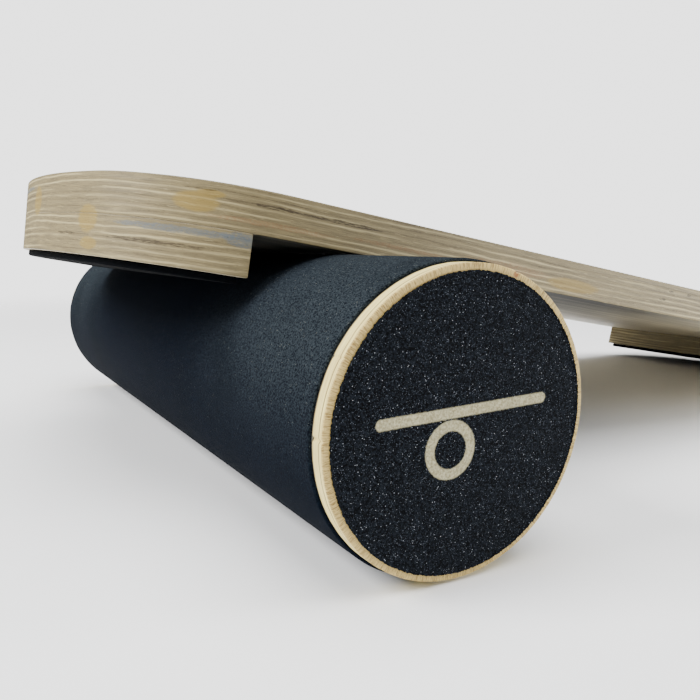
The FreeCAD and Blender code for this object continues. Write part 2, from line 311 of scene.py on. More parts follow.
def ply_relief(distance, height):
    """Sinks every second ply by 0.04 mm, and lets the edge wander by 0.05 mm along its length."""
    wave = 0.5 + 0.5 * np.cos(math.pi * height / PLY)
    wander = np.sin(distance * 47) * np.sin(distance * 19 + 1) * EDGE_WANDER
    return PLY_SINK * wave + np.abs(wander)


def ride_as(piece, body, node):
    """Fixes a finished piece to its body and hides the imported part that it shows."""
    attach(piece, body)
    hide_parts(node)
    return piece


# %% Build the boards
EDGE_ROUND, EDGE_STEPS = 0.0004, 44
GRIP_ROUND, GRIP_STEPS = 0.00025, 2
PAD_ROUND, PAD_STEPS = 0.0008, 6

panel = board_piece("deck_board", deck_outline, deck_low[2], deck_high[2] - deck_low[2],
                    EDGE_ROUND, EDGE_STEPS, ply_relief)
ride_as(panel, "deck", "deck_panel")

grip_low, grip_high = level_box("deck_grip")
grip_inset = half_length - (grip_high[0] - grip_low[0]) / 2
top_grip = board_piece("deck_grip_sheet", board_outline(grip_inset), grip_low[2],
                       grip_high[2] - grip_low[2], GRIP_ROUND, GRIP_STEPS)
ride_as(top_grip, "deck", "deck_grip")

blocks, pads = [], []
for label, side in (("left", -1), ("right", 1)):
    low, high = level_box(f"{label}_stop_block")
    inner = (high[0] if side < 0 else low[0]) - deck_middle
    block = board_piece(f"{label}_block", end_outline(abs(inner), side), low[2],
                        high[2] - low[2], EDGE_ROUND, EDGE_STEPS, ply_relief)
    blocks.append(ride_as(block, "deck", f"{label}_stop_block"))
    low, high = level_box(f"{label}_stop_pad")
    inner = (high[0] if side < 0 else low[0]) - deck_middle
    outer = (low[0] if side < 0 else high[0]) - deck_middle
    pad = board_piece(f"{label}_pad", end_outline(abs(inner), side, half_length - abs(outer)),
                      low[2], high[2] - low[2], PAD_ROUND, PAD_STEPS)
    pads.append(ride_as(pad, "deck", f"{label}_stop_pad"))

# %% [markdown]
# ## Roller
# The roller is turned: a profile of (distance along the axis, radius) goes round the axis. The
# sleeve's ends roll over slightly. The caps are plywood discs a little smaller than the sleeve.

# %% Turned pieces
def turned_piece(name, profile, rows, ends, wobble):
    """Point (t, p) is the axis + radius[p] * (cos t, sin t), at distance along[p] down the axis."""
    angle = np.linspace(0, 2 * math.pi, rows, endpoint=False)[:, None]
    y = np.broadcast_to(profile[None, :, 0], (rows, len(profile)))
    radius = np.broadcast_to(profile[None, :, 1], (rows, len(profile)))
    dy, dr = wobble(angle, y, radius)
    y, radius = y + dy, radius + dr
    points = np.stack([pivot[0] + radius * np.cos(angle), y, pivot[2] + radius * np.sin(angle)], -1)
    step = np.linalg.norm(np.diff(profile, axis=0), axis=1)
    length = np.concatenate([[0], np.cumsum(step)])
    turn = np.linspace(0, 2 * math.pi, rows + 1)[:, None] * profile[:, 1].max()
    uv = np.stack(np.broadcast_arrays(turn, length[None, :]), -1)
    tips = [(column, np.array([pivot[0], profile[column, 0], pivot[2]]), flip)
            for column, flip in ends]
    places = [np.stack(np.broadcast_arrays(radius * np.cos(angle), y, radius * np.sin(angle)),
                       -1).reshape(-1, 3)]
    places += [np.array([[0, profile[column, 0], 0]]) for column, flip in ends]
    return grid_piece(name, points, tips, uv, np.vstack(places))


def round_over(corner_y, corner_radius, size, direction):
    """A quarter circle that joins a flat end face to the rim. direction is the way to the rim."""
    t = np.linspace(0, math.pi / 2, ROUND_STEPS)
    return np.stack([corner_y + direction * size * (1 - np.cos(t)),
                     corner_radius - size * (1 - np.sin(t))], 1)


# %% Radii of the sleeve, the caps and the discs
sleeve_low, sleeve_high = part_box("roller_sleeve")
sleeve_radius = (sleeve_high[2] - sleeve_low[2]) / 2
cap_low, cap_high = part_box("near_end_cap")
cap_radius = (cap_high[2] - cap_low[2]) / 2
disc_low, disc_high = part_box("near_grip_disc")
disc_radius = (disc_high[2] - disc_low[2]) / 2
print(f"sleeve radius {1000 * sleeve_radius:.1f} mm, cap radius {1000 * cap_radius:.1f} mm")

# %% Sleeve
SLEEVE_ROUND = 0.0009
SLEEVE_ROWS, SLEEVE_STEPS = 360, 60
SLEEVE_END = 0.002        # the evenly stepped part starts this far from each end
SLEEVE_INSIDE = 0.0001    # the inner wall is this much smaller than the caps
SLACK, SLACK_REACH = 0.00012, 0.01
inner_wall = cap_radius - SLEEVE_INSIDE
body_steps = np.linspace(sleeve_low[1] + SLEEVE_END, sleeve_high[1] - SLEEVE_END, SLEEVE_STEPS)
sleeve_profile = np.vstack([
    [[sleeve_low[1], cap_radius]],
    round_over(sleeve_low[1], sleeve_radius, SLEEVE_ROUND, 1),
    np.stack([body_steps, np.full(SLEEVE_STEPS, sleeve_radius)], 1),
    round_over(sleeve_high[1], sleeve_radius, SLEEVE_ROUND, -1)[::-1],
    [[sleeve_high[1], cap_radius]], [[sleeve_high[1], inner_wall]],
    [[sleeve_low[1], inner_wall]]])


def sleeve_wobble(angle, y, radius):
    """The sheet is a little slack near its ends, so its rim waves by a tenth of a millimetre."""
    near = np.exp(-(y - y.min()) / SLACK_REACH) + np.exp((y - y.max()) / SLACK_REACH)
    wave = np.sin(angle * 5 + 1) * np.sin(angle * 3) + 0.6 * np.sin(angle * 11 + 2)
    outer = radius > cap_radius + 0.0002
    return np.zeros_like(y), -np.abs(wave * near) * SLACK * outer


def merge_doubles(piece):
    """Welds the profile's last column to its first."""
    work = bmesh.new()
    work.from_mesh(piece.data)
    bmesh.ops.remove_doubles(work, verts=work.verts, dist=1e-7)
    bmesh.ops.recalc_face_normals(work, faces=work.faces)
    work.to_mesh(piece.data)
    work.free()


def closed_turning(name, profile, rows, wobble):
    """A turned piece with a hollow middle: its profile's last point meets its first."""
    loop = np.vstack([profile, profile[:1]])
    piece = turned_piece(name, loop, rows, (), wobble)
    merge_doubles(piece)
    return piece


sleeve = closed_turning("sleeve", sleeve_profile, SLEEVE_ROWS, sleeve_wobble)
ride_as(sleeve, "roller_shell", "roller_sleeve")

# %% [markdown]
# ## End caps and grip discs
# Each cap is a thin plywood disc. Its rim is not perfect: a small chip is missing here and there,
# and the sawn rim is slightly uneven. The grip disc is coated with coarse grit, so its surface is
# a fine polar grid whose points are raised by seeded random amounts, and its edge is ragged.

# %% Caps
CAP_ROWS, CAP_RINGS, RIM_STEPS = 720, 26, 16
CAP_HUB = 0.006       # radius of the small fan in the middle of each face
CAP_BACK = 0.03       # one more ring on the hidden back
CAP_ROUND, FRONT_MARGIN, BACK_ROUND = 0.0005, 0.0006, 0.0003
RIM_BAND, SAW_WAVE = 0.0015, 0.00005
# Chips of the rim: (turn in radians, width in radians, depth in metres).
CHIPS = [(2.62, 0.012, 0.0003), (1.22, 0.016, 0.0007), (3.10, 0.02, 0.0007), (4.1, 0.014, 0.0005)]


def cap_profile(face, back):
    """From the middle of the outer face, over the rounded rim, to the back. y runs inwards."""
    way = 1 if back > face else -1
    radii = np.linspace(CAP_HUB, cap_radius - FRONT_MARGIN, CAP_RINGS)
    rim = np.linspace(face + way * FRONT_MARGIN, back - way * BACK_ROUND, RIM_STEPS)
    return np.vstack([
        np.stack([np.full(CAP_RINGS, face), radii], 1),
        round_over(face, cap_radius, CAP_ROUND, way),
        np.stack([rim, np.full(RIM_STEPS, cap_radius)], 1),
        [[back, cap_radius - BACK_ROUND], [back, CAP_BACK], [back, CAP_HUB]]])


def cap_wobble(angle, y, radius):
    """Pulls the rim in at each chip, depth * exp(-3 (turn / width)^2), and waves the saw cut."""
    rim = np.clip((radius - cap_radius + RIM_BAND) / RIM_BAND, 0, 1)
    pull = SAW_WAVE * (1 + np.sin(angle * 31) * np.sin(angle * 17 + 2))
    for turn, width, depth in CHIPS:
        pull = pull + depth * np.exp(-((angle - turn) / width) ** 2 * 3)
    return np.zeros_like(y), -pull * rim


def end_cap(label, face, back, flips):
    """One cap from its outer face to its back, fixed to the roller."""
    profile = cap_profile(face, back)
    last = len(profile) - 1
    cap = turned_piece(f"{label}_cap", profile, CAP_ROWS, [(0, flips), (last, not flips)],
                       cap_wobble)
    return ride_as(cap, "roller_shell", f"{label}_end_cap")


far_low, far_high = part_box("far_end_cap")
near_cap = end_cap("near", cap_low[1], cap_high[1], True)
far_cap = end_cap("far", far_high[1], far_low[1], False)

# %% Grip discs
GRIT_ROWS, GRIT_RINGS = 1300, 66
GRAIN = 0.0006             # size of a grain
GRIT_LIFT = 0.00015        # height of the tallest grain
GRIT_SINK = 0.00035        # how far the grains' ground lies below the disc's outer face
GRIT_HUB = 0.0008          # radius of the small fan in the middle
RAG, RAG_BAND = 0.0006, 0.002    # depth of the ragged edge, and how far in it reaches


def grain_field(x, z, grains):
    """Smooth random heights from 0 to 1: a square table of draws, blended between its corners."""
    table = grains.random((256, 256)) ** 2
    column, row = x / GRAIN + 128, z / GRAIN + 128
    c, r = np.floor(column).astype(int), np.floor(row).astype(int)
    right, up = column - c, row - r
    low = table[r, c] * (1 - right) + table[r, c + 1] * right
    high = table[r + 1, c] * (1 - right) + table[r + 1, c + 1] * right
    return low * (1 - up) + high * up


def grit_disc(label, face, back, flips, seed):
    """A polar grid whose points a grain field lifts by 0 to 0.15 mm, with a ragged last ring."""
    grains = np.random.default_rng(seed)
    way = 1 if face > back else -1
    radii = np.linspace(GRIT_HUB, disc_radius, GRIT_RINGS)
    profile = np.vstack([
        np.stack([np.full(GRIT_RINGS, face), radii], 1),
        [[back, disc_radius]]])
    ragged = grains.random(GRIT_ROWS)
    smooth_rag = (ragged + np.roll(ragged, 1)) / 2

    def wobble(angle, y, radius):
        """Lifts the grains of the face out of their sunk ground, and pulls in the ragged edge."""
        lift = grain_field(radius * np.cos(angle), radius * np.sin(angle), grains) * GRIT_LIFT
        rag = smooth_rag[:, None] * RAG
        rim = np.clip((radius - disc_radius + RAG_BAND) / RAG_BAND, 0, 1)
        return way * (lift - GRIT_SINK) * (radius < disc_radius - 0.0001), -rag * rim

    disc = turned_piece(f"{label}_grit_disc", profile, GRIT_ROWS,
                        [(0, flips), (GRIT_RINGS, not flips)], wobble)
    return ride_as(disc, "roller_shell", f"{label}_grip_disc")


far_disc_low, far_disc_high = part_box("far_grip_disc")
near_disc = grit_disc("near", disc_low[1], disc_high[1], True, 11)
far_disc = grit_disc("far", far_disc_high[1], far_disc_low[1], False, 12)

# %% [markdown]
# ## Sums in shader nodes
# A finish is arithmetic on patterns, and arithmetic reads best as Python. `Value` wraps a node's
# output socket, so that `1 - mask * 0.5` adds its Math nodes by itself. `Finish` holds a material
# and makes any other node in one call.

# %% Value
class Value:
    """A socket that carries a number, with the operators that add Math nodes."""

    def __init__(self, finish, socket):
        self.finish = finish
        self.socket = socket

    def maths(self, operation, *operands):
        """A Math node on this value and others; plain numbers are set on its sockets."""
        settings = {"operation": operation}
        return self.finish.node("ShaderNodeMath", settings, dict(enumerate(operands)))

    def __add__(self, other):
        return self.maths("ADD", self, other)

    def __radd__(self, other):
        return self.maths("ADD", other, self)

    def __sub__(self, other):
        return self.maths("SUBTRACT", self, other)

    def __rsub__(self, other):
        return self.maths("SUBTRACT", other, self)

    def __mul__(self, other):
        return self.maths("MULTIPLY", self, other)

    def __rmul__(self, other):
        return self.maths("MULTIPLY", other, self)

    def __truediv__(self, other):
        return self.maths("DIVIDE", self, other)

    def __pow__(self, other):
        return self.maths("POWER", self, other)

    def floor(self):
        return self.maths("FLOOR", self)

    def fraction(self):
        return self.maths("FRACT", self)

    def absolute(self):
        return self.maths("ABSOLUTE", self)

    def below(self, other):
        return self.maths("LESS_THAN", self, other)

    def smallest(self, other):
        return self.maths("MINIMUM", self, other)

    def largest(self, other):
        return self.maths("MAXIMUM", self, other)

    def ramp(self, low, high):
        """0 below low, 1 above high and a smooth rise between them."""
        settings = {"interpolation_type": "SMOOTHSTEP"}
        return self.finish.node("ShaderNodeMapRange", settings,
                                {"Value": self, "From Min": low, "From Max": high})


# %% Finish
class Finish:
    """One material and the helpers that add nodes to it."""

    def __init__(self, name):
        self.material = bpy.data.materials.new(name)
        self.material.use_nodes = True
        self.tree = self.material.node_tree
        self.shader = self.tree.nodes["Principled BSDF"]
        print("new finish:", name)

    def node(self, kind, settings=None, inputs=None, output=0):
        """A node of any type: its settings first, then its sockets' values or links."""
        made = self.tree.nodes.new(kind)
        for key, setting in (settings or {}).items():
            setattr(made, key, setting)
        for key, given in (inputs or {}).items():
            self.feed(made.inputs[key], given)
        return Value(self, made.outputs[output])

    def feed(self, socket, given):
        """Links a Value to a socket, or sets a plain number or colour on it."""
        if isinstance(given, Value):
            self.tree.links.new(given.socket, socket)
        else:
            socket.default_value = given

    def object_place(self):
        return self.node("ShaderNodeTexCoord", output="Object")

    def own_place(self):
        """The piece's own level coordinates, kept on its points."""
        return self.node("ShaderNodeAttribute", {"attribute_name": "place"}, output="Vector")

    def edge_map(self):
        return self.node("ShaderNodeUVMap", {"uv_map": "edge"})

    def split(self, vector):
        """The three numbers of a vector or a colour."""
        parts = self.tree.nodes.new("ShaderNodeSeparateXYZ")
        self.tree.links.new(vector.socket, parts.inputs[0])
        return [Value(self, out) for out in parts.outputs]

    def vector(self, x, y, z):
        return self.node("ShaderNodeCombineXYZ", inputs={0: x, 1: y, 2: z})

    def scaled(self, vector, x, y, z):
        """Coordinates times (x, y, z): a large factor makes a pattern fine in that direction."""
        return self.node("ShaderNodeMapping", inputs={"Vector": vector, "Scale": (x, y, z)})

    def noise(self, vector, scale=1.0, detail=2.0, rough=0.5):
        return self.node("ShaderNodeTexNoise", {"noise_dimensions": "3D"},
                         {"Vector": vector, "Scale": scale, "Detail": detail,
                          "Roughness": rough}, "Fac")

    def cells(self, vector, scale, output="Distance"):
        """Random cells: how far the cell's middle is, or the cell's own random colour."""
        return self.node("ShaderNodeTexVoronoi", {"feature": "F1"},
                         {"Vector": vector, "Scale": scale}, output)

    def blend(self, amount, first, second):
        """The first colour where amount is 0, and the second where it is 1."""
        made = self.tree.nodes.new("ShaderNodeMix")
        made.data_type = "RGBA"
        self.feed(made.inputs["Factor"], amount)
        colours = [s for s in made.inputs if s.type == "RGBA"]
        self.feed(colours[0], first)
        self.feed(colours[1], second)
        return Value(self, next(s for s in made.outputs if s.type == "RGBA"))

    def bump(self, height, depth, strength):
        """A normal from a height of 0 to 1 that stands for 0 to depth metres."""
        return self.node("ShaderNodeBump",
                         inputs={"Height": height, "Distance": depth, "Strength": strength})

    def shade(self, **sockets):
        """Feeds the shader: base_color=..., roughness=..., normal=..."""
        names = {"base_color": "Base Color", "specular": "Specular IOR Level"}
        for key, given in sockets.items():
            self.feed(self.shader.inputs[names.get(key, key.capitalize())], given)
        return self.material


# %% Colours
def colour(red, green, blue):
    """An 8-bit screen colour as the linear values that a shader needs."""
    def linear(c):
        c = c / 255
        return c / 12.92 if c <= 0.04045 else ((c + 0.055) / 1.055) ** 2.4
    return (linear(red), linear(green), linear(blue), 1.0)


print("blue-black as linear values:", [round(c, 3) for c in colour(18, 24, 32)])

# %% [markdown]
# ## Plywood seen on its edge
# A sawn edge shows the plies as bands. Every second ply runs along the edge, so it is pale with
# long fine streaks; the plies between show their end grain, which is browner and full of tiny
# pores. The bands wander slowly, because veneer is never quite flat. Over them lie marks at known
# places: filled knots, grey stains, cracks and a reddish tinge, each a ragged oval.
# The pattern reads the piece's own edge map: distance round the board, and height.

# %% Plywood colours and marks
PAIR = 0.00283            # thickness of a pale ply and a brown ply together
LINE = colour(186, 172, 128)
BEIGE = colour(146, 132, 94)
GREY_BEIGE = colour(112, 101, 75)
GREY_BROWN = colour(78, 67, 48)
RUSSET = colour(142, 96, 60)
FILLER = colour(150, 126, 62)
STAIN = colour(96, 106, 112)
DARK = colour(44, 33, 26)

# Marks on this board's edge: (distance round the deck, height, half length, half height), in m.
UNDER = float(deck_low[2])
FILLED = [(0.4535, UNDER + 0.0055, 0.0075, 0.0078), (0.5145, UNDER - 0.0020, 0.0085, 0.0065),
          (0.5165, UNDER - 0.0120, 0.0075, 0.0030), (0.568, UNDER + 0.0088, 0.0105, 0.0043),
          (0.5735, UNDER + 0.0125, 0.0065, 0.0016), (0.768, UNDER + 0.0052, 0.021, 0.0036),
          (1.02, UNDER + 0.0090, 0.012, 0.0035), (1.29, UNDER - 0.0060, 0.010, 0.0060),
          (1.51, UNDER + 0.0060, 0.011, 0.0040)]
STAINS = [(0.563, UNDER - 0.0026, 0.034, 0.0016), (0.588, UNDER - 0.0030, 0.010, 0.0030),
          (0.42, UNDER + 0.012, 0.03, 0.0012), (0.93, UNDER + 0.0030, 0.04, 0.0016),
          (1.24, UNDER - 0.004, 0.03, 0.0020)]
CRACKS = [(0.552, UNDER - 0.0086, 0.026, 0.0010), (0.570, UNDER + 0.0137, 0.007, 0.0004),
          (0.600, UNDER + 0.0112, 0.012, 0.0008), (0.631, UNDER + 0.0112, 0.022, 0.0009),
          (0.845, UNDER + 0.0130, 0.0022, 0.0008), (0.861, UNDER + 0.0130, 0.0020, 0.0007),
          (0.839, UNDER + 0.0080, 0.0035, 0.0009), (0.496, UNDER - 0.0084, 0.010, 0.0006),
          (1.10, UNDER + 0.0070, 0.018, 0.0008), (1.62, UNDER + 0.0110, 0.024, 0.0008)]
RUSSETS = [(0.600, UNDER + 0.0046, 0.030, 0.0013), (0.722, UNDER + 0.0070, 0.030, 0.0030),
           (0.66, UNDER + 0.0060, 0.03, 0.0010), (1.16, UNDER + 0.0050, 0.03, 0.0012)]
print(f"{len(FILLED)} filled knots, {len(STAINS)} stains, {len(CRACKS)} cracks, "
      f"{len(RUSSETS)} reddish patches")


# %% Plies and ovals
def oval(distance, height, spot, ragged):
    """1 inside a ragged oval and 0 outside: (dx / long)^2 + (dy / tall)^2 against 1."""
    where, up, long, tall = spot
    away = ((distance - where) / long) ** 2 + ((height - up) / tall) ** 2
    return 1 - (away + ragged).ramp(0.5, 1.0)


def ply_bands(finish, metres, distance, height, bottom):
    """Two masks: thin pale plies, and the brown side of the plies between them."""
    slow = finish.noise(finish.scaled(metres, 9, 70, 1), 1.0, 2.0) - 0.5
    local = finish.noise(finish.scaled(metres, 48, 240, 1), 1.0, 2.0) - 0.5
    level = (height - bottom) / PAIR + slow * 1.5 + local * 0.5
    pair = level.floor()
    off = (level.fraction() - 0.5).absolute() * 2
    strips = finish.vector(distance, pair * 3.7, 0.0)
    shown = finish.noise(finish.scaled(strips, 13, 1, 1), 1.0, 2.0).ramp(0.36, 0.62)
    brown = finish.noise(finish.scaled(strips, 17, 1.3, 1), 1.0, 3.0).ramp(0.4, 0.68)
    return (1 - off.ramp(0.10, 0.38)) * shown, off.ramp(0.55, 0.95) * brown


# %% Plywood edge
def plywood(name, bottom):
    """Bands of plies counted up from bottom, then the marks, then fine pale and dark streaks."""
    finish = Finish(name)
    distance, height = finish.split(finish.edge_map())[:2]
    metres = finish.vector(distance, height, 0.0)
    pale, brown = ply_bands(finish, metres, distance, height, bottom)
    streaks = finish.noise(finish.scaled(metres, 85, 4600, 1), 1.0, 4.0, 0.65)
    fleck = finish.noise(finish.scaled(metres, 700, 2300, 1), 1.0, 3.0, 0.7)
    cloud = finish.noise(finish.scaled(metres, 26, 160, 1), 1.0, 2.0)

    base = finish.blend(streaks.ramp(0.36, 0.64), GREY_BEIGE, BEIGE)
    base = finish.blend(cloud.ramp(0.5, 0.72) * 0.5, base, GREY_BEIGE)
    base = finish.blend(brown * (0.35 + fleck.ramp(0.35, 0.65) * 0.6), base, GREY_BROWN)
    base = finish.blend(pale * (0.6 + streaks.ramp(0.3, 0.6) * 0.4), base, LINE)

    ragged = (finish.noise(finish.scaled(metres, 240, 520, 1), 1.0, 3.0) - 0.5) * 1.5
    for spot in RUSSETS:
        base = finish.blend(oval(distance, height, spot, ragged) * 0.4
                            * fleck.ramp(0.35, 0.6), base, RUSSET)
    for spot in STAINS:
        base = finish.blend(oval(distance, height, spot, ragged)
                            * fleck.ramp(0.3, 0.55) * 0.7, base, STAIN)
    filled = oval(distance, height, FILLED[0], ragged * 0.3)
    for spot in FILLED[1:]:
        filled = filled.largest(oval(distance, height, spot, ragged * 0.3))
    base = finish.blend(filled * (0.4 + streaks * 0.55), base, FILLER)
    dashes = finish.noise(finish.scaled(metres, 230, 3000, 1), 1.0, 3.0, 0.6)
    for spot in CRACKS:
        base = finish.blend(oval(distance, height, spot, ragged)
                            * dashes.ramp(0.36, 0.58) * 0.8, base, DARK)
    stray = finish.noise(finish.scaled(metres, 60, 2300, 1), 1.0, 4.0, 0.65).ramp(0.58, 0.72)
    base = finish.blend(stray * 0.6, base, GREY_BROWN)
    pale_streak = finish.noise(finish.scaled(metres, 130, 1500, 1), 1.0, 3.0, 0.6)
    base = finish.blend(pale_streak.ramp(0.58, 0.72) * 0.45, base, LINE)
    pores = finish.noise(finish.scaled(metres, 420, 3600, 1), 1.0, 2.0).ramp(0.62, 0.72)
    base = finish.blend(pores * 0.4, base, DARK)

    relief = (streaks * 0.6 + fleck * brown) * (1 - filled * 0.8)
    normal = finish.bump(relief, 0.0001, 0.5)
    return finish.shade(base_color=base, roughness=0.42 + fleck * 0.2, normal=normal,
                        specular=0.3)


# %% [markdown]
# ## Plywood seen on its face
# A face shows one veneer: long grain in the deck's direction, with fine fibres. The underside is
# near-black from the left block on, and less and less so towards the right end.

# %% Veneer
UNDERSIDE_BLACK = colour(16, 20, 28)
BLACK_DEPTH = 0.003       # only what lies this near the underside is darkened
LEFT_BLOCK_END = float(level_box("left_stop_block")[1][0])


def veneer(name, light, dark):
    """A flat plywood face: long grain in the deck's direction, on the piece's own place."""
    finish = Finish(name)
    place = finish.own_place()
    wander = finish.noise(finish.scaled(place, 3, 9, 1), 1.0, 2.0)
    x, y, z = finish.split(place)
    bent = finish.vector(x, y + wander * 0.02, z)
    figure = finish.noise(finish.scaled(bent, 5, 120, 1), 1.0, 5.0, 0.6)
    fibre = finish.noise(finish.scaled(bent, 60, 2600, 1), 1.0, 3.0, 0.7)
    base = finish.blend(figure.ramp(0.3, 0.7), light, dark)
    base = finish.blend(fibre.ramp(0.55, 0.75) * 0.4, base, dark)
    # Near-black from the left block's inner face on, and less and less past x = 0.16 m.
    black_edge_noise = finish.noise(finish.scaled(place, 14, 30, 1), 1.0, 4.0, 0.65)
    black_band = (1 - (x + (black_edge_noise - 0.5) * 0.12).ramp(0.16, 0.34)) * z.below(UNDER + BLACK_DEPTH)
    black_band = black_band * (x - LEFT_BLOCK_END).ramp(0.0, 0.002)
    base = finish.blend(black_band * (0.8 + figure.ramp(0.35, 0.6) * 0.2), base, UNDERSIDE_BLACK)
    normal = finish.bump(fibre, 0.0001, 0.5)
    return finish.shade(base_color=base, roughness=0.34 + fibre * 0.2, normal=normal,
                        specular=0.5)


# %% Edges and faces of the boards
FLATNESS = 0.75           # a polygon whose normal is this much upright belongs to a flat face


def edge_and_faces(piece, edge_finish, face_finish):
    """Gives a board's edge one finish and its flat faces another, by how level each face is."""
    piece.data.materials.append(edge_finish)
    piece.data.materials.append(face_finish)
    normals = np.empty(len(piece.data.polygons) * 3, np.float32)
    piece.data.polygons.foreach_get("normal", normals)
    level = np.abs(normals.reshape(-1, 3) @ upward) > FLATNESS
    piece.data.polygons.foreach_set("material_index", level.astype(np.int32))
    print(f"{piece.name}: {int(level.sum())} face polygons, {int((~level).sum())} edge polygons")


deck_edge = plywood("deck plywood edge", UNDER)
face_veneer = veneer("birch veneer face", colour(206, 196, 170), colour(176, 164, 136))
edge_and_faces(panel, deck_edge, face_veneer)
block_edge = plywood("block plywood edge", float(level_box("left_stop_block")[0][2]))
for block in blocks:
    edge_and_faces(block, block_edge, face_veneer)

# %% [markdown]
# ## Black coverings
# There are three different blacks: the sleeve's fine, slightly furry grit, the discs' coarse
# grit with painted glints, and the smooth foam rubber of the pads. What sets them apart is grain
# size, how dark the ground between the grains is, and how many grains carry a painted glint.

# %% Sleeve finish
PAINTED_LIGHT_GREY = colour(52, 59, 63)
PAINTED_LIGHT_FROM, PAINTED_LIGHT_REACH = 0.06, 0.12    # painted light begins this far from the middle, and grows over this


def fine_grit(name):
    """Furry near-black grit, painted glints, and painted light at both ends on the side that is up at
    rest.
    """
    finish = Finish(name)
    place = finish.object_place()
    fluff = finish.noise(place, 1600, 3.0, 0.7)
    clumps = finish.noise(place, 420, 3.0, 0.65)
    worn = finish.noise(place, 22, 3.0, 0.5)
    x, y, z = finish.split(finish.own_place())
    # Painted light: a lighter grey near both ends, on the upper side and more so towards +x.
    painted_light = (y.absolute() - PAINTED_LIGHT_FROM).ramp(0.0, PAINTED_LIGHT_REACH)
    painted_light = painted_light * (z + x * 0.35 + 0.035).ramp(-0.01, 0.055)
    painted_light = painted_light * (0.65 + clumps * 0.7)
    base = finish.blend(fluff.ramp(0.38, 0.66), colour(0, 3, 12), colour(10, 19, 31))
    base = finish.blend(painted_light * fluff.ramp(0.34, 0.68), base, PAINTED_LIGHT_GREY)
    base = finish.blend(clumps.ramp(0.5, 0.75) * 0.35, base, colour(18, 24, 30))
    base = finish.blend(worn.ramp(0.45, 0.75) * 0.4, base, colour(3, 9, 15))
    # Painted glints: light dots on a few grains, brighter within the painted light.
    painted_glint = finish.cells(place, 1500).below(0.13)
    chosen = finish.noise(place, 500, 0.0).ramp(0.62, 0.7)
    base = finish.blend(painted_glint * chosen * (0.25 + painted_light * 0.5), base, colour(170, 172, 158))
    normal = finish.bump(fluff + clumps * 0.5, 0.00022, 1.0)
    return finish.shade(base_color=base, roughness=0.8, normal=normal, specular=0.03)


# %% Disc and deck grit
GRIT_SCALE = 2500         # grains to a metre


def coarse_grit(name, marked=False):
    """Coarse grains, painted glints. A marked disc also carries a plain sign: a bar that tips on a
    ring.
    """
    finish = Finish(name)
    place = finish.object_place()
    red, green, blue = finish.split(finish.cells(place, GRIT_SCALE, "Color"))
    middle = 1 - finish.cells(place, GRIT_SCALE).ramp(0.12, 0.5)
    patches = finish.noise(place, 1400, 3.0, 0.7)
    ground = finish.blend(patches.ramp(0.42, 0.62), colour(0, 1, 3), colour(26, 31, 38))
    base = finish.blend(red.ramp(0.35, 1.0) ** 2.0 * middle, ground, colour(74, 82, 90))
    # Painted glints and sparkles: light dots in the middle of a few grains.
    painted_glint = green.ramp(0.86, 1.0) * middle
    base = finish.blend(painted_glint * 0.8, base, colour(150, 158, 174))
    painted_spark = blue.ramp(0.975, 0.985) * middle
    base = finish.blend(painted_spark, base, colour(226, 232, 242))
    if marked:
        worn = finish.noise(place, 1100, 3.0, 0.7)
        base = finish.blend(plain_sign(finish, worn), base,
                            finish.blend(worn.ramp(0.3, 0.7), colour(150, 142, 108),
                                         colour(206, 200, 166)))
    normal = finish.bump(middle + patches, 0.0004, 1.0)
    return finish.shade(base_color=base, roughness=0.72 + red * 0.2, normal=normal,
                        specular=0.05)


# %% Plain sign
SIGN_TILT = math.radians(2)
BAR_HALF, RING_RADIUS = 0.034, 0.0085
LINE_INSIDE, LINE_OUTSIDE = 0.0016, 0.0022    # half the line's width, where it begins and ends to fade


def plain_sign(finish, worn):
    """Masks of the sign, in the disc's own plane: a rounded bar and, under it, a ring."""
    x, y, z = finish.split(finish.own_place())
    run = x * math.cos(SIGN_TILT) + z * math.sin(SIGN_TILT)
    rise = z * math.cos(SIGN_TILT) - x * math.sin(SIGN_TILT)
    beyond = (run.absolute() - BAR_HALF).largest(0.0)
    bar = (beyond ** 2 + (rise - 0.0065) ** 2) ** 0.5
    hoop = (((x + 0.006) ** 2 + (z + 0.0065) ** 2) ** 0.5 - RING_RADIUS).absolute()
    shape = bar.smallest(hoop) + (worn - 0.5) * 0.0012
    return 1 - shape.ramp(LINE_INSIDE, LINE_OUTSIDE)


# %% Pad rubber, and the black finishes put on
def foam_rubber(name):
    """Dull black rubber with a faint skin."""
    finish = Finish(name)
    place = finish.object_place()
    skin = finish.noise(place, 900, 3.0, 0.6)
    base = finish.blend(skin.ramp(0.4, 0.7), colour(1, 2, 4), colour(8, 10, 14))
    return finish.shade(base_color=base, roughness=0.75 + skin * 0.15,
                        normal=finish.bump(skin, 0.0001, 0.5), specular=0.04)


sleeve.data.materials.append(fine_grit("sleeve fine grit"))
near_disc.data.materials.append(coarse_grit("near disc coarse grit", marked=True))
plain_grit = coarse_grit("coarse grit")
for sheet in (far_disc, top_grip):
    sheet.data.materials.append(plain_grit)
pad_rubber = foam_rubber("pad foam rubber")
for pad in pads:
    pad.data.materials.append(pad_rubber)
print("black coverings:", [piece.name for piece in (sleeve, near_disc, far_disc, top_grip, *pads)])

# %% [markdown]
# ## Cap plywood
# The caps are a few thick veneers. Their sawn rim is bright and creamy with a glue line a third
# of the way back and a painted shadow line at the back, one chipped place has bruised the wood
# to brown, and the ring of face that the grip disc leaves bare shows short marks from sanding.

# %% Cap finish
BRUISE = (0.0182, 0.0508)    # (x, z) from the roller's axis, beside one of the chips
GLUE_AND_SHADOW_LINES = (0.38, 0.97)    # parts of the way from the outer face to the back: glue line, painted shadow line
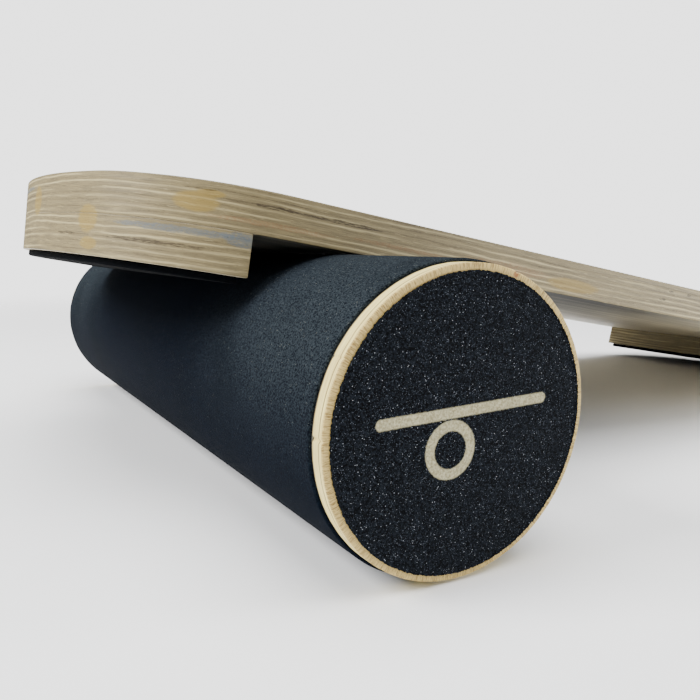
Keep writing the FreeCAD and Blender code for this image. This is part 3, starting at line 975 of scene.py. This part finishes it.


def cap_wood(name, face, back):
    """Creamy rim with a glue line and a painted shadow line, browner flat wood on the outer face, by
    depth from it.
    """
    finish = Finish(name)
    x, y, z = finish.split(finish.own_place())
    radius = (x * x + z * z) ** 0.5
    turn, walked = finish.split(finish.edge_map())[:2]
    depth = (y - face) / (back - face)
    fibres = finish.noise(finish.vector(turn * 2600, walked * 300, 0.0), 1.0, 3.0, 0.7)
    rings = finish.noise(finish.vector(turn * 60, y * 4000, 0.0), 1.0, 3.0, 0.6)
    fine = finish.noise(finish.vector(turn * 70, y * 2600, 0.0), 1.0, 4.0, 0.7)
    light, warm, line = colour(252, 236, 154), colour(196, 168, 98), colour(84, 62, 32)
    rim = finish.blend(rings.ramp(0.3, 0.7), light, colour(214, 192, 126))
    rim = finish.blend(fine.ramp(0.46, 0.66) * 0.75, rim, warm)
    glue_and_shadow = 1 - ((depth + rings * 0.06 - GLUE_AND_SHADOW_LINES[0]).absolute()).ramp(0.012, 0.05)
    # Painted shadow: a dark line at the rim's back edge, next to the sleeve.
    glue_and_shadow = glue_and_shadow.largest(1 - ((depth + rings * 0.05 - GLUE_AND_SHADOW_LINES[1]).absolute()).ramp(0.02, 0.06))
    rim = finish.blend(glue_and_shadow * 0.9, rim, line)
    flat = finish.blend(fibres.ramp(0.4, 0.68), colour(206, 180, 112), colour(128, 100, 48))
    base = finish.blend((depth - 0.08).ramp(0.0, 0.06), flat, rim)
    bruise = (((x - BRUISE[0]) ** 2 + (z - BRUISE[1]) ** 2) ** 0.5 + fibres * 0.0006)
    base = finish.blend((1 - bruise.ramp(0.0010, 0.0018)) * 0.85, base, colour(140, 84, 34))
    normal = finish.bump(fibres, 0.00015, 0.6)
    return finish.shade(base_color=base, roughness=0.5 + fibres * 0.15, normal=normal,
                        specular=0.35)


near_cap.data.materials.append(cap_wood("near cap plywood", cap_low[1], cap_high[1]))
far_cap.data.materials.append(cap_wood("far cap plywood", far_high[1], far_low[1]))
print(f"caps {1000 * (cap_high[1] - cap_low[1]):.1f} mm thick")

# %% [markdown]
# ## Hidden parts
# The tube, plugs, tie rod, nuts and screws stay as they were packed. Nobody sees them unless the
# roller is opened, but each still gets a finish of its own with some grain in it.

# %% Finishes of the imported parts
def plain_finish(name, light, dark, scale, stretch, metallic=0.0, rough=0.5):
    """Two tones mixed by a stretched grain, with a little bump from the same grain."""
    finish = Finish(name)
    place = finish.scaled(finish.object_place(), *stretch)
    grain = finish.noise(place, scale, 4.0, 0.6)
    base = finish.blend(grain.ramp(0.3, 0.7), light, dark)
    return finish.shade(base_color=base, roughness=rough + grain * 0.2, metallic=metallic,
                        normal=finish.bump(grain, 0.0002, 0.4))


steel = plain_finish("zinc plated steel", colour(190, 190, 188), colour(150, 152, 154), 300,
                     (1, 6, 1), 1.0, 0.25)
pipe = plain_finish("grey pipe", colour(150, 152, 154), colour(128, 130, 134), 90, (1, 0.2, 1))
raw_ply = plain_finish("raw plug plywood", colour(206, 186, 150), colour(168, 144, 108), 160,
                       (0.2, 1, 1))
hidden = {"tie_rod": steel, "tie_rod_nuts": steel, "left_stop_screws": steel,
          "right_stop_screws": steel, "roller_tube": pipe, "near_end_plug": raw_ply,
          "far_end_plug": raw_ply}
for node, material in hidden.items():
    packed = frame["nodes"][node]
    packed.data.materials.clear()
    packed.data.materials.append(material)
print(len(hidden), "packed parts have a finish of their own")

# %% [markdown]
# ## Floor, light and camera
# The board stands on a wide pale floor that fades into a pale backdrop, so no horizon shows. Three
# square lamps light it: a big soft one above, a key from the left and a small fill from the right.
# The backdrop is seen brighter than it lights the board, as a separately lit studio wall is.

# %% Floor
FADE_START, FADE_END = 0.55, 1.5    # distances from the middle, in metres
floor_mesh = bpy.data.meshes.new("floor")
FLOOR_HALF = 14.0
floor_corners = [(-FLOOR_HALF, -FLOOR_HALF, 0), (FLOOR_HALF, -FLOOR_HALF, 0),
                 (FLOOR_HALF, FLOOR_HALF, 0), (-FLOOR_HALF, FLOOR_HALF, 0)]
floor_mesh.from_pydata(floor_corners, [], [(0, 1, 2, 3)])
floor = bpy.data.objects.new("floor", floor_mesh)
bpy.context.scene.collection.objects.link(floor)
paper = Finish("white paper")
weave = paper.noise(paper.object_place(), 40, 2.0)
x, y, z = paper.split(paper.object_place())
fade = ((x * x + y * y) ** 0.5).ramp(FADE_START, FADE_END)
paper.shade(base_color=paper.blend(weave, colour(250, 250, 250), colour(247, 248, 249)),
            roughness=1.0, specular=0.0, alpha=1 - fade)
floor.data.materials.append(paper.material)
print(f"floor {2 * FLOOR_HALF:.0f} m across, fading from {FADE_START} to {FADE_END} m")

# %% Backdrop
BACKDROP_LIGHT = 0.32     # strength with which the backdrop lights the board
BACKDROP_EXTRA = 2.4      # added where the backdrop itself is looked at
world = bpy.data.worlds.new("studio")
bpy.context.scene.world = world
world.use_nodes = True
backdrop = world.node_tree.nodes["Background"]
backdrop.inputs["Color"].default_value = (1.0, 1.0, 1.0, 1.0)
rays = world.node_tree.nodes.new("ShaderNodeLightPath")
seen = world.node_tree.nodes.new("ShaderNodeMath")
seen.operation = "MULTIPLY_ADD"
seen.inputs[1].default_value = BACKDROP_EXTRA
seen.inputs[2].default_value = BACKDROP_LIGHT
world.node_tree.links.new(rays.outputs["Is Camera Ray"], seen.inputs[0])
world.node_tree.links.new(seen.outputs[0], backdrop.inputs["Strength"])
print(f"backdrop: light {BACKDROP_LIGHT}, seen {BACKDROP_LIGHT + BACKDROP_EXTRA:.2f}")


# %% Lamps
def soft_light(name, place, target, size, power):
    """A square lamp that faces its target."""
    lamp = bpy.data.lights.new(name, "AREA")
    lamp.shape = "SQUARE"
    lamp.size = size
    lamp.energy = power
    holder = bpy.data.objects.new(name, lamp)
    bpy.context.scene.collection.objects.link(holder)
    holder.location = place
    aim = Vector(target) - Vector(place)
    holder.rotation_euler = aim.to_track_quat("-Z", "Y").to_euler()
    print(f"{name}: {power} W, {size} m square")


soft_light("key", (-1.7, 0.2, 1.25), (-0.2, -0.05, 0.08), 0.8, 60)
soft_light("top", (0.0, -0.35, 2.1), (0, 0, 0), 2.2, 82)
soft_light("fill", (1.35, -0.75, 0.36), (0.38, 0, 0.05), 0.5, 22)

# %% [markdown]
# ## Camera
# The camera stands close to the near end of the roller, a little above it, and looks past it
# along the deck. It is placed from the roller: so many roller radii left, in front and above.

# %% Camera
CAMERA_LEFT, CAMERA_FRONT, CAMERA_ABOVE = 2.802, 3.269, 1.097    # in cap radii
camera_data = bpy.data.cameras.new("camera")
camera = bpy.data.objects.new("camera", camera_data)
bpy.context.scene.collection.objects.link(camera)
camera_data.sensor_width = 36.0
camera_data.lens = 36.4
camera_data.shift_x = 0.0571
camera_data.shift_y = 0.1071
near_face = cap_low[1]
camera.location = (pivot[0] - CAMERA_LEFT * cap_radius, near_face - CAMERA_FRONT * cap_radius,
                   pivot[2] + CAMERA_ABOVE * cap_radius)
turn_right, look_down = math.radians(27.86), math.radians(14.30)
gaze = Vector((math.sin(turn_right) * math.cos(look_down),
                  math.cos(turn_right) * math.cos(look_down), -math.sin(look_down)))
camera.rotation_euler = gaze.to_track_quat("-Z", "Y").to_euler()
camera_data.clip_start = 0.01
camera_data.clip_end = 60
bpy.context.scene.camera = camera
print("camera at", [round(c, 3) for c in camera.location])

# %% [markdown]
# ## Finish
# The last line brings the scene up to date.

# %% Update the scene
bpy.context.view_layer.update()
